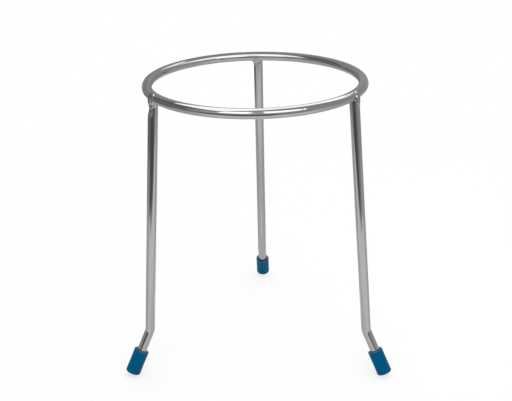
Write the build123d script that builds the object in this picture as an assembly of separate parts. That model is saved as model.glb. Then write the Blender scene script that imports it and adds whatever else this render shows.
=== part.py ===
"""Lab tripod stand: a ring of round steel rod on three rod legs, each ending in a soft vinyl cap.

Millimetres, +Z up. The origin is on the ring's axis at bench level. The stand faces -Y, so one leg is
straight behind (+Y) and the other two are at the front left and the front right.
"""
from build123d import *
import math
import os

os.makedirs("parts", exist_ok=True)

# ---- Driving dimensions -------------------------------------------------------------------------

stand_height = 184.0  # bench to the top of the ring
ring_centre_diameter = 132.0  # across the middle of the ring's rod
ring_rod_diameter = 6.0
leg_rod_diameter = 6.0

leg_outset = 1.0  # how far the leg's axis stands outside the ring's centreline, at the ring's mid plane
leg_splay = 4.8  # degrees from upright, above the knee
leg_kick = 27.0  # degrees from upright, below the knee
knee_height = 29.0  # bench to where the axes of the two straight runs cross
knee_radius = 10.0  # bend radius on the rod's axis

leg_saddle_depth = 1.4  # how deep the ring sits in the leg's sawn top

weld_spread = 1.8  # how far the bead runs along the ring, past the side of the leg
weld_cover = 0.9  # how far the bead stands out from the leg, across the ring
weld_middle_rise = 1.1  # the bead's middle, above the ring's underside

cap_wall = 1.72
cap_length = 16.0
cap_end_wall = 2.0  # vinyl below the end of the leg
cap_fit_clearance = 0.03  # between the leg and the cap, all round and at the leg's end
cap_end_edge_radius = 0.8
cap_rim_edge_radius = 0.35
cap_flat_depth = 0.3  # how far the soft cap is squashed flat where it bears on the bench

legs = {"left": 210.0, "right": 330.0, "rear": 90.0}  # where each leg stands, degrees about +Z from +X

# ---- Sizes that follow --------------------------------------------------------------------------

ring_radius = ring_centre_diameter / 2
ring_rod_radius = ring_rod_diameter / 2
leg_rod_radius = leg_rod_diameter / 2
cap_bore_radius = leg_rod_radius + cap_fit_clearance
cap_outer_radius = cap_bore_radius + cap_wall
ring_mid_height = stand_height - ring_rod_radius
ring_underside = ring_mid_height - ring_rod_radius

splay = math.radians(leg_splay)
kick = math.radians(leg_kick)


def on_upper_run(height):
    """The leg's axis above the knee, at a height: the leg stands in the XZ plane, outwards along +X."""
    return Vector(ring_radius + leg_outset + (ring_mid_height - height) * math.tan(splay), 0, height)


# The cap leans with the lower run, so it bears on the inner edge of its closed end. The end's middle is
# at the height that lets that rounded edge sink cap_flat_depth below the bench.
cap_edge_circle_radius = cap_outer_radius - cap_end_edge_radius
cap_end_height = (
    cap_edge_circle_radius * math.sin(kick)
    + cap_end_edge_radius * (1 - math.cos(kick))
    - cap_flat_depth
)
knee = on_upper_run(knee_height)
down_the_kick = Vector(math.sin(kick), 0, -math.cos(kick))
cap_end = knee + down_the_kick * ((knee_height - cap_end_height) / math.cos(kick))
leg_top = on_upper_run(ring_underside + leg_saddle_depth)
leg_foot = cap_end - down_the_kick * (cap_end_wall + cap_fit_clearance)


# ---- Ring ---------------------------------------------------------------------------------------


def make_ring():
    """One rod rolled into a circle, its ends butt welded and dressed flush."""
    return Pos(0, 0, ring_mid_height) * Torus(ring_radius, ring_rod_radius)


# ---- Legs ---------------------------------------------------------------------------------------


def make_leg(ring):
    """A straight rod bent once at the knee, its top sawn square and saddled to the ring's underside."""
    axis_line = FilletPolyline(leg_top, knee, leg_foot, radius=knee_radius)
    top_plane = Plane(origin=leg_top, z_dir=knee - leg_top)
    rod = sweep(top_plane * Circle(leg_rod_radius), path=axis_line)
    return rod - ring


# ---- Welds --------------------------------------------------------------------------------------


def make_weld(ring, leg):
    """An oval bead that wraps the leg's top and climbs the ring's outer side.

    It is an ellipse turned about its long axis, which lies along the ring, midway between the ring's
    centreline and the leg's axis.
    """
    reach_across = leg_rod_radius + weld_cover
    reach_along = leg_rod_radius + weld_spread
    half = Pos(reach_across, 0) * Rectangle(2 * reach_across, 2 * reach_along)
    oval = Ellipse(reach_across, reach_along) & half
    middle = Pos((ring_radius + leg_top.X) / 2, 0, ring_underside + weld_middle_rise)
    return middle * revolve(oval, Axis.Y) - ring - leg


# ---- Foot caps ----------------------------------------------------------------------------------


def make_cap():
    """A dipped vinyl sleeve with a closed end, pushed over the leg and squashed flat at the bench."""
    bore_depth = cap_length - cap_end_wall
    sleeve = Cylinder(cap_outer_radius, cap_length, align=(Align.CENTER, Align.CENTER, Align.MIN))
    sleeve = fillet(sleeve.edges().sort_by(Axis.Z)[0], cap_end_edge_radius)
    sleeve -= Pos(0, 0, cap_end_wall) * Cylinder(
        cap_bore_radius, bore_depth, align=(Align.CENTER, Align.CENTER, Align.MIN)
    )
    rim_edges = sleeve.edges().filter_by(GeomType.CIRCLE).group_by(Axis.Z)[-1]
    sleeve = fillet(rim_edges, cap_rim_edge_radius)
    cap = Plane(origin=cap_end, z_dir=-down_the_kick) * sleeve
    below_bench = Pos(cap_end.X, 0, 0) * Box(
        2 * cap_length, 2 * cap_length, cap_length, align=(Align.CENTER, Align.CENTER, Align.MAX)
    )
    return cap - below_bench


# ---- The stand ----------------------------------------------------------------------------------

ring = make_ring()
leg = make_leg(ring)
weld = make_weld(ring, leg)
cap = make_cap()

export_step(ring, "parts/ring.step")
for side, azimuth in legs.items():
    turn = Rot(0, 0, azimuth)
    export_step(turn * leg, f"parts/leg_{side}.step")
    export_step(turn * weld, f"parts/weld_{side}.step")
    export_step(turn * cap, f"parts/foot_cap_{side}.step")

# Where the caps bear on the bench, for the record's mounts.
bearing_radius = cap_end.X - cap_end_edge_radius * math.sin(kick) - cap_edge_circle_radius * math.cos(kick)
for side, azimuth in legs.items():
    bearing = Vector(bearing_radius, 0, 0).rotate(Axis.Z, azimuth)
    print(f"foot_{side} bears on the bench at {bearing.X:.3f}, {bearing.Y:.3f} mm")
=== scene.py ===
"""A lab tripod stand of polished steel rod with blue vinyl caps on its feet, standing on a white bench.

Metres, +Z up, with the origin on the ring's axis at bench level. The rear leg is at +Y.
"""

import math

import bpy
import numpy as np
from mathutils import Matrix, Vector


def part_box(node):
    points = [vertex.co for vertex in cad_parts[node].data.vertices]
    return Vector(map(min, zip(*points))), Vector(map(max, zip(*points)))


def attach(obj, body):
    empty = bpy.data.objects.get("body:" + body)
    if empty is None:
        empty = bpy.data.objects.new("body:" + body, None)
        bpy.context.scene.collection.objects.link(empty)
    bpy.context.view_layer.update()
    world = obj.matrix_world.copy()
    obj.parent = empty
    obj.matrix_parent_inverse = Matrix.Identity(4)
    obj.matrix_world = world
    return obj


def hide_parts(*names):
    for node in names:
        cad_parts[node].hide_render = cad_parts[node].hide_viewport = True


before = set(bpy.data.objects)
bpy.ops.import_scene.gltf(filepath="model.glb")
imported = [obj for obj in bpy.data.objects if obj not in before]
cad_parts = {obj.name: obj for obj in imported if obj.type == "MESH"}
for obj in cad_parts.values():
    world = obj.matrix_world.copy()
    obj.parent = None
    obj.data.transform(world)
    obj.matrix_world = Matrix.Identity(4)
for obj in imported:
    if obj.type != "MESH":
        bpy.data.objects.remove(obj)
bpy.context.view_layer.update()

# ---- Ring ---------------------------------------------------------------------------------------
# One length of 6 mm round steel bar, rolled into a circle and butt welded to itself at the front right.
# The joint was filed nearly flush and polished, so it shows as a short and faintly roughened band.

rod_radius = 0.003
ring_low, ring_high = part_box("ring")
ring_height = (ring_low.z + ring_high.z) / 2
ring_radius = ring_high.x - rod_radius

seam_azimuth = math.radians(296)
seam_swelling = 0.00006
seam_width = 0.0011
seam_lopsided = 0.6
seam_thickest_at = -0.2
seam_roughened = 0.008

ring_steps = 720
section_points = 64

# Marks along the ring run from 0 at the seam to its circumference, and those of the legs start past it.
ring_marks_end = 1.0
leg_marks_start = 1.1


def make_piece(name, points, marks, closed_path=False):
    """A mesh from a grid of points, path steps by steps round the section, with outward faces.

    Each cell of the grid is a face, and the section closes on itself. The path either closes on itself
    too or ends in a fan of triangles at each end. The marks are three numbers a point for the finish to
    follow. On a bar they are its place along the bar and in the section. On a cap they are its radius,
    its angle and its height, and on a bead its plain place.
    """
    steps, around = points.shape[:2]
    index = np.arange(steps * around).reshape(steps, around)
    ahead = np.roll(index, -1, axis=0) if closed_path else index[1:]
    here = index if closed_path else index[:-1]
    cells = np.stack([here, ahead, np.roll(ahead, -1, axis=1), np.roll(here, -1, axis=1)], axis=-1)
    faces = cells.reshape(-1, 4).tolist()
    corners = points.reshape(-1, 3)
    marks = marks.reshape(-1, 3)
    if not closed_path:
        corners = np.vstack([corners, points[0].mean(axis=0), points[-1].mean(axis=0)])
        marks = np.vstack([marks, marks[:around].mean(axis=0), marks[-around:].mean(axis=0)])
        first, last = index[0], index[-1]
        start_pole = np.full(around, steps * around)
        faces += np.stack([start_pole, first, np.roll(first, -1)], axis=-1).tolist()
        faces += np.stack([start_pole + 1, np.roll(last, -1), last], axis=-1).tolist()
    # The enclosed volume is negative when the faces point inwards.
    a, b, c, d = (corners[cells[..., k]] for k in range(4))
    if (np.cross(c - a, d - b) * (a + b + c + d)).sum() < 0:
        faces = [face[::-1] for face in faces]
    mesh = bpy.data.meshes.new(name)
    mesh.from_pydata(corners.tolist(), [], faces)
    drawn = mesh.attributes.new("drawn", "FLOAT_VECTOR", "POINT")
    drawn.data.foreach_set("vector", marks.astype(np.float32).ravel())
    mesh.shade_smooth()
    piece = bpy.data.objects.new(name, mesh)
    bpy.context.scene.collection.objects.link(piece)
    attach(piece, "root")
    return piece


def turned(points, azimuth):
    """Points turned about +Z."""
    c, s = math.cos(azimuth), math.sin(azimuth)
    return points @ np.array([[c, s, 0.0], [-s, c, 0.0], [0.0, 0.0, 1.0]])


def bar_marks(along, section):
    """How far along the bar each point is, and its place in the round section."""
    along, section = np.broadcast_arrays(along, section)
    return np.stack([along, rod_radius * np.cos(section), rod_radius * np.sin(section)], axis=-1)


def make_ring():
    """A round section carried round a circle, a little fatter at the seam, mostly on its outer side."""
    along = np.linspace(0, 2 * math.pi, ring_steps, endpoint=False)[:, None]
    section = np.linspace(0, 2 * math.pi, section_points, endpoint=False)[None, :]
    from_seam = ring_radius * ((along + math.pi) % (2 * math.pi) - math.pi)
    ridge = np.exp(-((from_seam / seam_width) ** 2))
    lopsided = 1 + seam_lopsided * np.cos(section - seam_thickest_at)
    radius = rod_radius + seam_swelling * ridge * lopsided
    out = ring_radius + radius * np.cos(section)
    turn = along + seam_azimuth
    up = ring_height + radius * np.sin(section) + 0 * along
    points = np.stack([out * np.cos(turn), out * np.sin(turn), up], axis=-1)
    return make_piece("polished_ring", points, bar_marks(ring_radius * along, section), closed_path=True)


class Wire:
    """A value that runs through a material's nodes. Sums on wires and numbers add Math nodes."""

    def __init__(self, tree, socket=None):
        self.tree = tree
        self.socket = socket

    def node(self, kind, inputs=None, output=0, **settings):
        """Adds a node. Its settings are set first, then each input gets its number or its link."""
        made = self.tree.nodes.new(kind)
        for name, value in settings.items():
            setattr(made, name, value)
        for name, value in (inputs or {}).items():
            if isinstance(value, Wire):
                self.tree.links.new(value.socket, made.inputs[name])
            else:
                made.inputs[name].default_value = value
        return Wire(self.tree, made.outputs[output])

    def maths(self, operation, first, second):
        return self.node("ShaderNodeMath", {0: first, 1: second}, operation=operation)

    def __add__(self, other):
        return self.maths("ADD", self, other)

    def __sub__(self, other):
        return self.maths("SUBTRACT", self, other)

    def __rsub__(self, other):
        return self.maths("SUBTRACT", other, self)

    def __mul__(self, other):
        return self.maths("MULTIPLY", self, other)

    __radd__ = __add__

    def eased(self, start, end, low=0.0, high=1.0):
        """Low below start and high above end, with a smooth rise between."""
        inputs = {"Value": self, "From Min": start, "From Max": end, "To Min": low, "To Max": high}
        return self.node("ShaderNodeMapRange", inputs, interpolation_type="SMOOTHSTEP")

    def noise(self, places, scale, detail=2.0):
        """Smooth random values from 0 to 1 at a vector's places."""
        inputs = {"Vector": places, "Scale": scale, "Detail": detail}
        return self.node("ShaderNodeTexNoise", inputs)

    def stretched(self, vector, scale):
        """A vector with each of its parts multiplied."""
        return self.node("ShaderNodeVectorMath", {0: vector, 1: scale}, operation="MULTIPLY")


def new_material(name):
    """A material with a Principled surface, and a loose wire to add nodes with."""
    material = bpy.data.materials.new(name)
    material.use_nodes = True
    return material, material.node_tree.nodes["Principled BSDF"], Wire(material.node_tree)


def link(wire, surface, socket):
    wire.tree.links.new(wire.socket, surface.inputs[socket])


def bump(wire, height, distance, under=None):
    """A bump of a real height in metres, laid over another bump."""
    inputs = {"Height": height, "Distance": distance, "Strength": 1.0}
    if under is not None:
        inputs["Normal"] = under
    return wire.node("ShaderNodeBump", inputs)


def polished_steel():
    """Bright drawn bar: fine lines along it, soft waves left by the buff, and a few dull smears."""
    material, surface, wire = new_material("polished_steel")
    surface.inputs["Metallic"].default_value = 1.0
    drawn = wire.node("ShaderNodeAttribute", output="Vector", attribute_name="drawn")
    lines = wire.noise(wire.stretched(drawn, (25.0, 3500.0, 3500.0)), 1.0)
    waves = wire.noise(wire.stretched(drawn, (90.0, 160.0, 160.0)), 1.0)
    smears = wire.noise(wire.stretched(drawn, (60.0, 260.0, 260.0)), 1.0, 4.0)
    dull = smears.eased(0.45, 0.75)
    link(dull.eased(0.0, 1.0, 0.07, 0.13) + lines * 0.03, surface, "Roughness")
    tone = dull * -0.02 + lines * 0.02 + 0.47
    link(wire.node("ShaderNodeCombineColor", {0: tone, 1: tone, 2: tone}), surface, "Base Color")
    # The file left scratches either side of the ring's seam, where the marks along it start and end.
    along = wire.node("ShaderNodeSeparateXYZ", {0: drawn}, output="X")
    ring_length = 2 * math.pi * ring_radius
    on_ring = 1 - along.eased(ring_marks_end, leg_marks_start)
    before_seam = along.eased(ring_length - seam_roughened, ring_length) * on_ring
    near_seam = 1 - along.eased(0.0, seam_roughened) + before_seam
    filed = wire.noise(wire.stretched(drawn, (1.0, 0.5, 0.5)), 1400.0) * near_seam
    buffed = bump(wire, filed, 0.00006, bump(wire, waves, 0.000008))
    link(bump(wire, lines, 0.0000004, buffed), surface, "Normal")
    return material


steel = polished_steel()
ring = make_ring()
ring.data.materials.append(steel)
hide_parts("ring")

# ---- Legs ---------------------------------------------------------------------------------------
# Three rods of the same bar, each saddled to the ring's underside and bent once near the foot. The bend
# was made cold round a former, so the section there is slightly flattened.

legs = {"left": math.radians(210), "right": math.radians(330), "rear": math.radians(90)}
leg_outset = 0.001
leg_splay = math.radians(4.8)
leg_kick = math.radians(27)
knee_height = 0.029
knee_radius = 0.010
saddle_depth = 0.0014
bend_flattening = 0.00008

leg_steps = 480
leg_marks_shift = 0.2

# The lower end of the leg is in its cap. The cap's closed end touches the bench, below the rod's end.
cap_outer_radius = 0.00475
cap_edge_radius = 0.0008
cap_flat_depth = 0.0003
cap_end_wall = 0.002
cap_length = 0.016

cap_end_height = (
    (cap_outer_radius - cap_edge_radius) * math.sin(leg_kick)
    + cap_edge_radius * (1 - math.cos(leg_kick))
    - cap_flat_depth
)
hip = np.array([ring_radius + leg_outset, 0.0, ring_height])
down_leg = np.array([math.sin(leg_splay), 0.0, -math.cos(leg_splay)])
down_foot = np.array([math.sin(leg_kick), 0.0, -math.cos(leg_kick)])
knee_reach = (ring_height - knee_height) / math.cos(leg_splay)
foot_reach = (knee_height - cap_end_height) / math.cos(leg_kick)
knee = hip + down_leg * knee_reach
cap_end = knee + down_foot * foot_reach

# The neck is where the welder ground into the outer side of a leg, just under the ring.
necks = {
    "left": {"depth": 0.00105, "drop": 0.0060, "half_height": 0.0030},
    "right": {"depth": 0.00010, "drop": 0.0060, "half_height": 0.0020},
    "rear": {"depth": 0.00015, "drop": 0.0055, "half_height": 0.0020},
}


def leg_radius(reach, section, neck):
    """The rod's radius, less a smooth hollow on its outer side at the neck."""
    in_neck = np.exp(-(((reach - neck["drop"]) / neck["half_height"]) ** 2))
    outer_side = np.clip(np.cos(section), 0, 1) ** 1.5
    return rod_radius - neck["depth"] * in_neck * outer_side


def leg_centreline(step_count, reach_start):
    """Points and directions down the leg, from reach_start below the hip to the end of the rod.

    It is straight to the knee, turns on an arc of the knee's radius, and is straight to the foot.
    """
    half_turn = (leg_kick - leg_splay) / 2
    trim = knee_radius * math.tan(half_turn)
    arc_start = knee_reach - trim
    arc_length = knee_radius * 2 * half_turn
    end = arc_start + arc_length + foot_reach - trim - cap_end_wall
    shares = np.linspace(0, 1, step_count)
    reach = reach_start + shares[:, None] * (end - reach_start)
    turn = np.clip((reach - arc_start) / arc_length, 0, 1)
    lean = leg_splay + turn * 2 * half_turn
    straight = np.minimum(reach, arc_start)[..., None] * down_leg
    arc = knee_radius * np.stack(
        [
            np.cos(leg_splay) - np.cos(lean),
            0 * lean,
            np.sin(leg_splay) - np.sin(lean),
        ],
        axis=-1,
    )
    past = np.maximum(reach - arc_start - arc_length, 0)[..., None] * down_foot
    return hip + straight + arc + past, lean, reach, turn


def saddle_reach(section):
    """How far below the hip each line of the leg's skin starts: at the ring's skin or the sawn end.

    The place where a line meets the ring depends on how far down it is, so it is found in a few rounds.
    """
    settling_rounds = 12
    reach = np.full(section.shape, rod_radius)
    for _ in range(settling_rounds):
        across = leg_outset + reach * math.sin(leg_splay) + rod_radius * np.cos(section)
        around = rod_radius * np.sin(section)
        off_ring = np.hypot(ring_radius + across, around) - ring_radius
        drop = np.sqrt(np.maximum(rod_radius**2 - off_ring**2, 0))
        reach = (drop + rod_radius * np.cos(section) * math.sin(leg_splay)) / math.cos(leg_splay)
    return np.maximum(reach, rod_radius - saddle_depth)


def make_leg(side, azimuth):
    """A round section carried down the leg's line, with the neck and the flattened bend taken off it."""
    section = np.linspace(0, 2 * math.pi, section_points, endpoint=False)
    centres, lean, reach, turn = leg_centreline(leg_steps, saddle_reach(section)[None, :])
    outward = np.stack([np.cos(lean), 0 * lean, np.sin(lean)], axis=-1)
    sideways = np.array([0.0, 1.0, 0.0])
    bend = np.sin(math.pi * turn) ** 2
    radius = leg_radius(reach, section, necks[side]) - bend_flattening * bend * np.cos(2 * section)
    points = (
        centres
        + (radius * np.cos(section))[..., None] * outward
        + (radius * np.sin(section))[..., None] * sideways
    )
    # The azimuth sets the legs' marks apart from each other, so each has a finish of its own.
    marks = bar_marks(reach + leg_marks_shift + azimuth, section)
    return make_piece(f"polished_leg_{side}", turned(points, azimuth), marks)


for side, azimuth in legs.items():
    leg = make_leg(side, azimuth)
    leg.data.materials.append(steel)
    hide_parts(f"leg_{side}")

# ---- Welds --------------------------------------------------------------------------------------
# Weld metal run round the top of each leg by hand and then buffed. Every bead is different: how far it
# spreads, how much it fills the corner, and how high it climbs the ring's outer side.

beads = {
    "left": {"fill": 0.0014, "one_sided": 0.3, "skin": 0.00014, "lip": 0.00030, "ripple": 0.00015,
             "middle": (0.0690, 0.0009, 0.1800), "spread": (0.0050, 0.0034, 0.0048)},
    "right": {"fill": 0.0012, "one_sided": 0.0, "skin": 0.00038, "lip": 0.00016, "ripple": 0.00006,
              "middle": (0.0695, 0.0009, 0.1798), "spread": (0.0045, 0.0026, 0.0044)},
    "rear": {"fill": 0.0017, "one_sided": 0.85, "skin": 0.00012, "lip": 0.00010, "ripple": 0.00004,
             "middle": (0.0660, 0.0010, 0.1782), "spread": (0.0034, 0.0042, 0.0036)},
}
ripple_rate = 4200
ripple_slant = 0.35
ripple_wander = 2.0
wander_rate = 1500
lip_place = 0.85
lip_width = 0.22
edge_sink = 0.003
side_blend = 0.001

bead_polar_steps = 122
bead_columns = 160
bead_reach = 0.012
bead_halvings = 24


def bead_surface(places, bead, neck):
    """Below zero inside the bead: the ring and the leg run together, plus a skin that thins away.

    Two rods' distances are joined by a smooth minimum, which fills the corner between them. The skin is
    thickest at the bead's middle, rises to a lip at its edge, and past it sinks below the rods' surface.
    """
    x, y, z = places[..., 0], places[..., 1], places[..., 2]
    to_ring = np.hypot(np.hypot(x, y) - ring_radius, z - ring_height) - rod_radius
    from_hip = places - hip
    reach = from_hip @ down_leg
    off_axis = from_hip - np.maximum(reach, rod_radius - saddle_depth)[..., None] * down_leg
    section = np.arctan2(y, off_axis[..., 0])
    to_leg = np.linalg.norm(off_axis, axis=-1) - leg_radius(reach, section, neck)
    fill = bead["fill"] * (1 + bead["one_sided"] * np.tanh(y / side_blend))
    share = np.clip(0.5 + 0.5 * (to_leg - to_ring) / fill, 0, 1)
    joined = to_leg * (1 - share) + to_ring * share - fill * share * (1 - share)
    edge = (((places - np.array(bead["middle"])) / np.array(bead["spread"])) ** 2).sum(axis=-1)
    wander = ripple_wander * np.sin(wander_rate * z)
    ripples = np.sin(ripple_rate * (y + ripple_slant * z) + wander) * bead["ripple"]
    lip = bead["lip"] * np.exp(-(((edge - lip_place) / lip_width) ** 2))
    skin = bead["skin"] * (1 - edge) - edge_sink * np.maximum(edge - 1, 0) ** 2
    return joined - skin - lip - ripples * np.exp(-edge)


def make_bead(side, azimuth):
    """A closed surface round the joint's middle: each direction's distance is found by halving."""
    bead = beads[side]
    joint = hip + np.array([-leg_outset / 2, bead["middle"][1] / 2, -0.9 * rod_radius])
    polar = np.linspace(0, math.pi, bead_polar_steps)[1:-1, None]
    around = np.linspace(0, 2 * math.pi, bead_columns, endpoint=False)[None, :]
    ways = np.stack(
        [np.sin(polar) * np.cos(around), np.sin(polar) * np.sin(around), np.cos(polar) + 0 * around],
        axis=-1,
    )
    near = np.zeros(ways.shape[:2])
    far = np.full(ways.shape[:2], bead_reach)
    for _ in range(bead_halvings):
        middle = (near + far) / 2
        inside = bead_surface(joint + ways * middle[..., None], bead, necks[side]) < 0
        near = np.where(inside, middle, near)
        far = np.where(inside, far, middle)
    points = joint + ways * near[..., None]
    return make_piece(f"weld_bead_{side}", turned(points, azimuth), points)


def buffed_weld():
    """Weld metal, buffed but duller than the bar, with small pits and scratches that run every way."""
    material, surface, wire = new_material("buffed_weld")
    surface.inputs["Metallic"].default_value = 1.0
    places = wire.node("ShaderNodeTexCoord", output="Object")
    lumps = wire.noise(places, 900.0, 3.0)
    grain = wire.noise(places, 6000.0, 2.0)
    pits = lumps.eased(0.60, 0.72)
    link(lumps.eased(0.3, 0.7, 0.09, 0.18) + pits * 0.15, surface, "Roughness")
    tone = pits * -0.12 + lumps * 0.06 + 0.43
    link(wire.node("ShaderNodeCombineColor", {0: tone, 1: tone, 2: tone}), surface, "Base Color")
    soft = bump(wire, lumps, 0.00012)
    link(bump(wire, grain, 0.000004, soft), surface, "Normal")
    return material


weld_metal = buffed_weld()
for side, azimuth in legs.items():
    bead = make_bead(side, azimuth)
    bead.data.materials.append(weld_metal)
    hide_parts(f"weld_{side}")

# ---- Foot caps ----------------------------------------------------------------------------------
# Blue vinyl caps, dip moulded and pushed over the legs. The open rim is cut, so it shows the wall, and
# the inner edge of the closed end is squashed flat where the stand's weight bears on the bench.

cap_bore_radius = rod_radius + 0.00003
cap_rim_radius = 0.00035
cap_waist = 0.00006
cap_oval = 0.00005
cap_lobes = 0.00003
cap_rim_dip = 0.00018

cap_columns = 96
cap_corner_steps = 12
cap_wall_steps = 60
cap_flat_steps = 10


def cap_outline():
    """Radius and height up the cap: up the outside from the closed end, over the rim, down the bore.

    Heights are from the closed end's middle. Straight stretches are joined by quarter circles.
    """
    turn = np.linspace(0, math.pi / 2, cap_corner_steps)
    edge = np.stack(
        [
            cap_outer_radius - cap_edge_radius * (1 - np.sin(turn)),
            cap_edge_radius * (1 - np.cos(turn)),
        ],
        axis=-1,
    )
    wall_heights = np.linspace(cap_edge_radius, cap_length - cap_rim_radius, cap_wall_steps)[1:-1]
    wall_share = (wall_heights - cap_edge_radius) / (cap_length - cap_edge_radius)
    wall = np.stack([cap_outer_radius - cap_waist * np.sin(math.pi * wall_share), wall_heights], axis=-1)
    outer_rim = np.stack(
        [
            cap_outer_radius - cap_rim_radius * (1 - np.cos(turn)),
            cap_length - cap_rim_radius * (1 - np.sin(turn)),
        ],
        axis=-1,
    )
    inner_rim = np.stack(
        [
            cap_bore_radius + cap_rim_radius * (1 - np.sin(turn)),
            cap_length - cap_rim_radius * (1 - np.cos(turn)),
        ],
        axis=-1,
    )
    bore = np.array([[cap_bore_radius, cap_length / 2], [cap_bore_radius, cap_end_wall]])
    flat_shares = np.linspace(1 / cap_flat_steps, 1, cap_flat_steps)[:-1, None]
    flat_end = flat_shares * np.array([[cap_outer_radius - cap_edge_radius, 0.0]])
    return np.vstack([flat_end, edge, wall, outer_rim, inner_rim, bore])


def make_cap(side, azimuth, turn_of_mould):
    """The outline spun about the foot's line and flattened at the bench."""
    outline = cap_outline()
    around = np.linspace(0, 2 * math.pi, cap_columns, endpoint=False)
    radius, height = outline[:, :1], outline[:, 1:]
    # A dipped cap is never quite round or even in its wall, and its rim is not cut quite square.
    oval = cap_oval * np.sin(2 * around + turn_of_mould)
    uneven = oval + cap_lobes * np.sin(3 * around - turn_of_mould)
    outside = np.clip((radius - cap_bore_radius) / (cap_outer_radius - cap_bore_radius), 0, 1)
    rim_dip = cap_rim_dip * np.sin(around + turn_of_mould) * np.clip(height / cap_length, 0, 1) ** 6
    radius = radius + uneven * outside
    outward = np.array([math.cos(leg_kick), 0.0, math.sin(leg_kick)])
    sideways = np.array([0.0, 1.0, 0.0])
    points = (
        cap_end
        - (height + rim_dip)[..., None] * down_foot
        + (radius * np.cos(around))[..., None] * outward
        + (radius * np.sin(around))[..., None] * sideways
    )
    points[..., 2] = np.maximum(points[..., 2], 0.0)
    marks = np.stack(np.broadcast_arrays(radius, around[None, :], height), axis=-1)
    return make_piece(f"vinyl_cap_{side}", turned(points, azimuth), marks)


def blue_vinyl():
    """Satin blue vinyl: a faint skin like orange peel, scuffs, a duller, greyer sole and a painted
    highlight on the rim.
    """
    material, surface, wire = new_material("blue_vinyl")
    places = wire.node("ShaderNodeTexCoord", output="Object")
    peel = wire.noise(places, 1400.0, 2.0)
    mottle = wire.noise(places, 320.0, 3.0)
    height = wire.node("ShaderNodeSeparateXYZ", {0: places}, output="Z")
    sole = 1 - height.eased(0.0002, 0.0022)
    scuffs = wire.noise(places, 700.0, 5.0).eased(0.58, 0.72)
    blue = mottle * 0.05 + 0.172
    green = mottle * 0.022 + 0.078
    body = wire.node("ShaderNodeCombineColor", {0: 0.0, 1: green, 2: blue})
    scuffed = (0.01, 0.12, 0.20, 1.0)
    wear = scuffs * 0.10 + sole * 0.35
    worn = wire.node("ShaderNodeMix", {0: wear, 6: body, 7: scuffed}, output=2, data_type="RGBA")
    # Painted highlight: the cut rim is paler than the skin, in patches. The marks hold each point's
    # height up the cap.
    up_cap = wire.node(
        "ShaderNodeSeparateXYZ",
        {0: wire.node("ShaderNodeAttribute", output="Vector", attribute_name="drawn")},
        output="Z",
    )
    cut = up_cap.eased(cap_length - 0.00022, cap_length - 0.00006)
    # A pale grey painted on the cut rim as its highlight.
    rim_highlight_grey = (0.14, 0.16, 0.17, 1.0)
    rim_highlight = cut * mottle.eased(0.3, 0.7, 0.2, 0.8)
    highlighted = wire.node("ShaderNodeMix", {0: rim_highlight, 6: worn, 7: rim_highlight_grey}, output=2, data_type="RGBA")
    link(highlighted, surface, "Base Color")
    surface.inputs["Specular IOR Level"].default_value = 0.06
    surface.inputs["Specular Tint"].default_value = (0.1, 0.7, 1.0, 1.0)
    link(mottle.eased(0.3, 0.7, 0.38, 0.50) + sole * 0.2, surface, "Roughness")
    link(bump(wire, peel, 0.00002), surface, "Normal")
    return material


vinyl = blue_vinyl()
for number, (side, azimuth) in enumerate(legs.items()):
    cap = make_cap(side, azimuth, 1.3 + 2.1 * number)
    cap.data.materials.append(vinyl)
    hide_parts(f"foot_cap_{side}")

# ---- Bench and light ----------------------------------------------------------------------------
# A white bench and a far white backdrop, under two big soft lamps: one overhead, one above the front.
# The greys and whites along the bar are drawn by a grey room, a low surround and four cards. The
# surround and the cards glow, and are seen only in shiny surfaces.


def stage_object(name, mesh, material):
    placed = bpy.data.objects.new(name, mesh)
    bpy.context.scene.collection.objects.link(placed)
    mesh.materials.append(material)
    return placed


def bench_white():
    """Matt white that glows a little for the eye and for reflections, more with distance.

    The glow keeps the far bench white where the lamps don't reach, and leaves the shadow by the stand.
    """
    material, surface, wire = new_material("bench_white")
    surface.inputs["Base Color"].default_value = (0.9, 0.9, 0.9, 1.0)
    surface.inputs["Roughness"].default_value = 0.8
    surface.inputs["Specular IOR Level"].default_value = 0.0
    seen = wire.node("ShaderNodeLightPath", output="Is Camera Ray")
    mirrored = wire.node("ShaderNodeLightPath", output="Is Glossy Ray")
    through = wire.node("ShaderNodeLightPath", output="Is Transmission Ray")
    places = wire.node("ShaderNodeTexCoord", output="Object")
    distance = wire.node("ShaderNodeVectorMath", {0: places}, output="Value", operation="LENGTH")
    share = (seen + mirrored + through) * distance.eased(0.10, 0.60, 0.70, 1.0)
    glow = wire.node("ShaderNodeEmission", {"Color": (1.0, 1.0, 1.0, 1.0), "Strength": 1.0})
    mixed = wire.node("ShaderNodeMixShader", {0: share, 2: glow})
    wire.tree.links.new(surface.outputs[0], mixed.socket.node.inputs[1])
    wire.tree.links.new(mixed.socket, wire.tree.nodes["Material Output"].inputs["Surface"])
    return material


bench_half = 14.0
bench_gap = 0.0001
bench_mesh = bpy.data.meshes.new("bench")
bench_mesh.from_pydata(
    [(x * bench_half, y * bench_half, -bench_gap) for x, y in ((-1, -1), (1, -1), (1, 1), (-1, 1))],
    [],
    [(0, 1, 2, 3)],
)
white = bench_white()
stage_object("bench", bench_mesh, white)

backdrop_radius = 13.0
backdrop_height = 3.2
stage_columns = 96


def make_backdrop():
    """A wall round the bench, spun about the axis: two rings of points joined by upright faces."""
    around = np.linspace(0, 2 * math.pi, stage_columns, endpoint=False)
    rim = backdrop_radius * np.stack([np.cos(around), np.sin(around), 0 * around], axis=-1)
    points = np.vstack([rim, rim + [0.0, 0.0, backdrop_height]])
    foot = np.arange(stage_columns)
    beside = np.roll(foot, -1)
    faces = np.stack([beside, foot, foot + stage_columns, beside + stage_columns], axis=-1)
    mesh = bpy.data.meshes.new("backdrop")
    mesh.from_pydata(points.tolist(), [], faces.tolist())
    return mesh


stage_object("backdrop", make_backdrop(), white)


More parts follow.
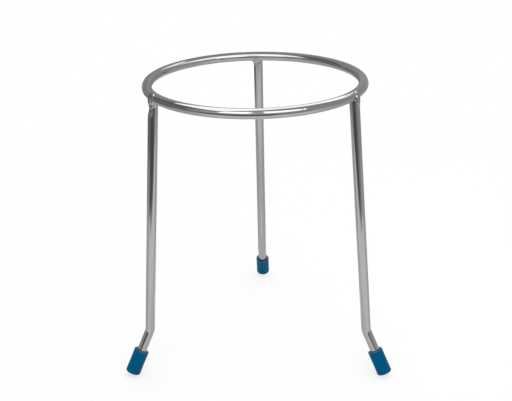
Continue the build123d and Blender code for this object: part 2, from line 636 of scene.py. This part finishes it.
def glowing(name, tone_of):
    """A material that only glows grey. Its tone comes from a function of a wire and the places."""
    material, _, wire = new_material(name)
    places = wire.node("ShaderNodeTexCoord", output="Object")
    glow = wire.node(
        "ShaderNodeEmission", {"Color": (1.0, 1.0, 1.0, 1.0), "Strength": tone_of(wire, places)}
    )
    wire.tree.links.new(glow.socket, wire.tree.nodes["Material Output"].inputs["Surface"])
    return material


def only_mirrored(placed):
    """Seen in shiny surfaces alone, so that it neither hides the stand nor lights or shades it."""
    placed.visible_camera = False
    placed.visible_diffuse = False
    placed.visible_shadow = False


surround_radius = 0.40
surround_top = 0.30
surround_start = 0.02
surround_corner = 0.02
surround_lift = 0.0004
surround_floor_steps = 14
surround_corner_steps = 8


def surround_tone(wire, places):
    """A pale sheet on the bench that ends in front in a soft straight edge, and low walls round about.

    The sheet is brightest ahead of the stand. The walls are darkest in front, at the left and in a band
    at the rear.
    """
    level = wire.stretched(places, (1.0, 1.0, 0.0))
    distance = wire.node("ShaderNodeVectorMath", {0: level}, output="Value", operation="LENGTH")
    facing = wire.node("ShaderNodeVectorMath", {0: level}, output="Vector", operation="NORMALIZE")
    height = wire.node("ShaderNodeSeparateXYZ", {0: places}, output="Z")
    ahead = 0 - wire.node("ShaderNodeSeparateXYZ", {0: places}, output="Y")

    def sector(azimuth, half_width, softness):
        """1 within a sector of the surround, where azimuth 0 is the front and 90 the right."""
        way = (math.sin(math.radians(azimuth)), -math.cos(math.radians(azimuth)), 0.0)
        along = wire.node(
            "ShaderNodeVectorMath", {0: facing, 1: way}, output="Value", operation="DOT_PRODUCT"
        )
        inner = math.cos(math.radians(half_width - softness))
        outer = math.cos(math.radians(half_width + softness))
        return along.eased(outer, inner)

    sheet = 0.74 + distance.eased(0.07, 0.17) * (sector(8, 62, 20) * 0.32 - 0.14)
    past_sheet = 0.33 - sector(-4, 38, 8) * 0.16
    off_sheet = ahead.eased(0.27, 0.37)
    floor = wire.node("ShaderNodeMix", {0: off_sheet, 2: sheet, 3: past_sheet}, data_type="FLOAT")

    low = 1 - height.eased(0.10, 0.20)
    lowest = 1 - height.eased(0.05, 0.08)
    front_glow = sector(0, 45, 8) * height.eased(0.20, 0.30) * 0.4
    front_dark = sector(-15, 33, 6) * low * 0.31 + sector(34, 20, 6) * low * 0.13
    right_glow = sector(60, 28, 10) * (1 - height.eased(0.18, 0.28)) * 0.02
    side_glow = (1 - sector(0, 46, 8)) * lowest * 0.11
    left_dark = sector(-88, 26, 10) * (1 - lowest) * 0.20 + sector(-102, 16, 6) * lowest * 0.34
    left_dark = left_dark + sector(-57, 9, 5) * low * 0.10
    left_rear_dark = sector(-140, 30, 8) * height.eased(0.05, 0.25) * 0.12
    rear_band = height.eased(0.03, 0.05) * (1 - height.eased(0.08, 0.11))
    rear_dark = (sector(-150, 28, 6) * 0.36 + sector(158, 16, 6) * 0.20) * rear_band
    lit_wall = 0.43 + front_glow + right_glow + side_glow
    wall = lit_wall - front_dark - left_dark - left_rear_dark - rear_dark
    on_wall = height.eased(0.002, 0.012)
    return wire.node("ShaderNodeMix", {0: on_wall, 2: floor, 3: wall}, data_type="FLOAT")


def make_surround():
    """A shallow bowl: a floor from under the stand, a rounded corner and a wall, spun about the axis."""
    around = np.linspace(0, 2 * math.pi, stage_columns, endpoint=False)
    corner_start = surround_radius - surround_corner
    floor_radii = np.linspace(surround_start, corner_start, surround_floor_steps)
    turn = np.linspace(0, math.pi / 2, surround_corner_steps)
    floor = np.stack([floor_radii, 0 * floor_radii + surround_lift], axis=-1)
    corner = np.stack(
        [
            corner_start + surround_corner * np.sin(turn),
            surround_lift + surround_corner * (1 - np.cos(turn)),
        ],
        axis=-1,
    )
    wall = np.array([[surround_radius, height] for height in (0.1, 0.2, surround_top)])
    profile = np.vstack([floor, corner[1:], wall])
    points = np.stack(
        [
            profile[:, :1] * np.cos(around),
            profile[:, :1] * np.sin(around),
            profile[:, 1:] + 0 * around,
        ],
        axis=-1,
    )
    steps, columns = points.shape[:2]
    index = np.arange(steps * columns).reshape(steps, columns)
    here, ahead = index[:-1], index[1:]
    cells = np.stack([here, np.roll(here, -1, 1), np.roll(ahead, -1, 1), ahead], axis=-1)
    mesh = bpy.data.meshes.new("surround")
    mesh.from_pydata(points.reshape(-1, 3).tolist(), [], cells.reshape(-1, 4).tolist())
    return mesh


only_mirrored(stage_object("surround", make_surround(), glowing("surround_grey", surround_tone)))


def upright_card(name, material, left_end, right_end, low, high):
    """A flat card standing between two points of the plan."""
    mesh = bpy.data.meshes.new(name)
    corners = [(*left_end, low), (*right_end, low), (*right_end, high), (*left_end, high)]
    mesh.from_pydata(corners, [], [(0, 1, 2, 3)])
    only_mirrored(stage_object(name, mesh, material))


flag_grey = glowing("flag_grey", lambda wire, places: 0.19)
upright_card("left_flag", flag_grey, (-0.52, -0.22), (-0.52, 0.34), 0.20, 1.05)
person_grey = glowing("person_grey", lambda wire, places: 0.55)
upright_card("person", person_grey, (-0.03, -0.73), (0.14, -0.73), 0.30, 1.30)
window_white = glowing("window_white", lambda wire, places: 1.5)
upright_card("window", window_white, (0.40, 0.925), (0.87, 0.42), 0.74, 1.30)

# A small white panel above the ring is what its top shows of the overhead lamp.
panel_plan = [(-0.097, -0.062), (0.097, -0.062), (0.097, 0.030), (-0.097, 0.030)]
panel_height = 0.245
panel_turn = math.radians(29)
panel_corners = np.array([(x, y, panel_height) for x, y in panel_plan])
panel_mesh = bpy.data.meshes.new("panel")
panel_mesh.from_pydata(turned(panel_corners, panel_turn).tolist(), [], [(3, 2, 1, 0)])
only_mirrored(stage_object("panel", panel_mesh, glowing("panel_white", lambda wire, places: 2.0)))


def soft_lamp(name, place, aim, width, length, brightness):
    """A rectangular soft lamp of an even brightness, where 1 is the white of a sheet in plain light."""
    light = bpy.data.lights.new(name, "AREA")
    light.shape = "RECTANGLE"
    light.size = width
    light.size_y = length
    light.energy = brightness * math.pi * width * length
    lamp = bpy.data.objects.new(name, light)
    bpy.context.scene.collection.objects.link(lamp)
    away = (Vector(place) - Vector(aim)).normalized()
    lamp.matrix_world = Matrix.Translation(place) @ away.to_track_quat("Z", "Y").to_matrix().to_4x4()
    return lamp


overhead = soft_lamp("overhead_lamp", (0.10, 0.30, 1.04), (0.10, 0.30, 0.0), 1.2, 1.2, 1.9)
overhead.visible_glossy = False
soft_lamp("front_lamp", (0.195, -0.75, 0.825), (0.195, 0.0, 0.825), 1.43, 0.83, 1.9)

room_grey = 0.42
world = bpy.data.worlds.new("room")
world.use_nodes = True
background = world.node_tree.nodes["Background"]
background.inputs["Color"].default_value = (room_grey, room_grey, room_grey, 1.0)
bpy.context.scene.world = world

# ---- Camera -------------------------------------------------------------------------------------
# A moderate lens a little over half a metre away, looking down on the ring from the front.

camera_lens = 59.8
camera_distance = 0.5522
camera_elevation = math.radians(23.1)
camera_turn = math.radians(2.17)
camera_roll = math.radians(1.16)
aim = Vector((-0.0009, 0.0, ring_height - 0.0792))

camera_data = bpy.data.cameras.new("camera")
camera_data.lens = camera_lens
camera = bpy.data.objects.new("camera", camera_data)
bpy.context.scene.collection.objects.link(camera)
bpy.context.scene.camera = camera
back = Vector((0.0, -math.cos(camera_elevation), math.sin(camera_elevation)))
level = Vector((1.0, 0.0, 0.0))
upright = back.cross(level)
right = level * math.cos(camera_roll) - upright * math.sin(camera_roll)
up = level * math.sin(camera_roll) + upright * math.cos(camera_roll)
facing = Matrix((right, up, back)).transposed().to_4x4()
turn = Matrix.Rotation(camera_turn, 4, "Z")
step_back = Matrix.Translation(back * camera_distance)
camera.matrix_world = Matrix.Translation(aim) @ turn @ step_back @ facing

bpy.context.scene.view_settings.view_transform = "Standard"
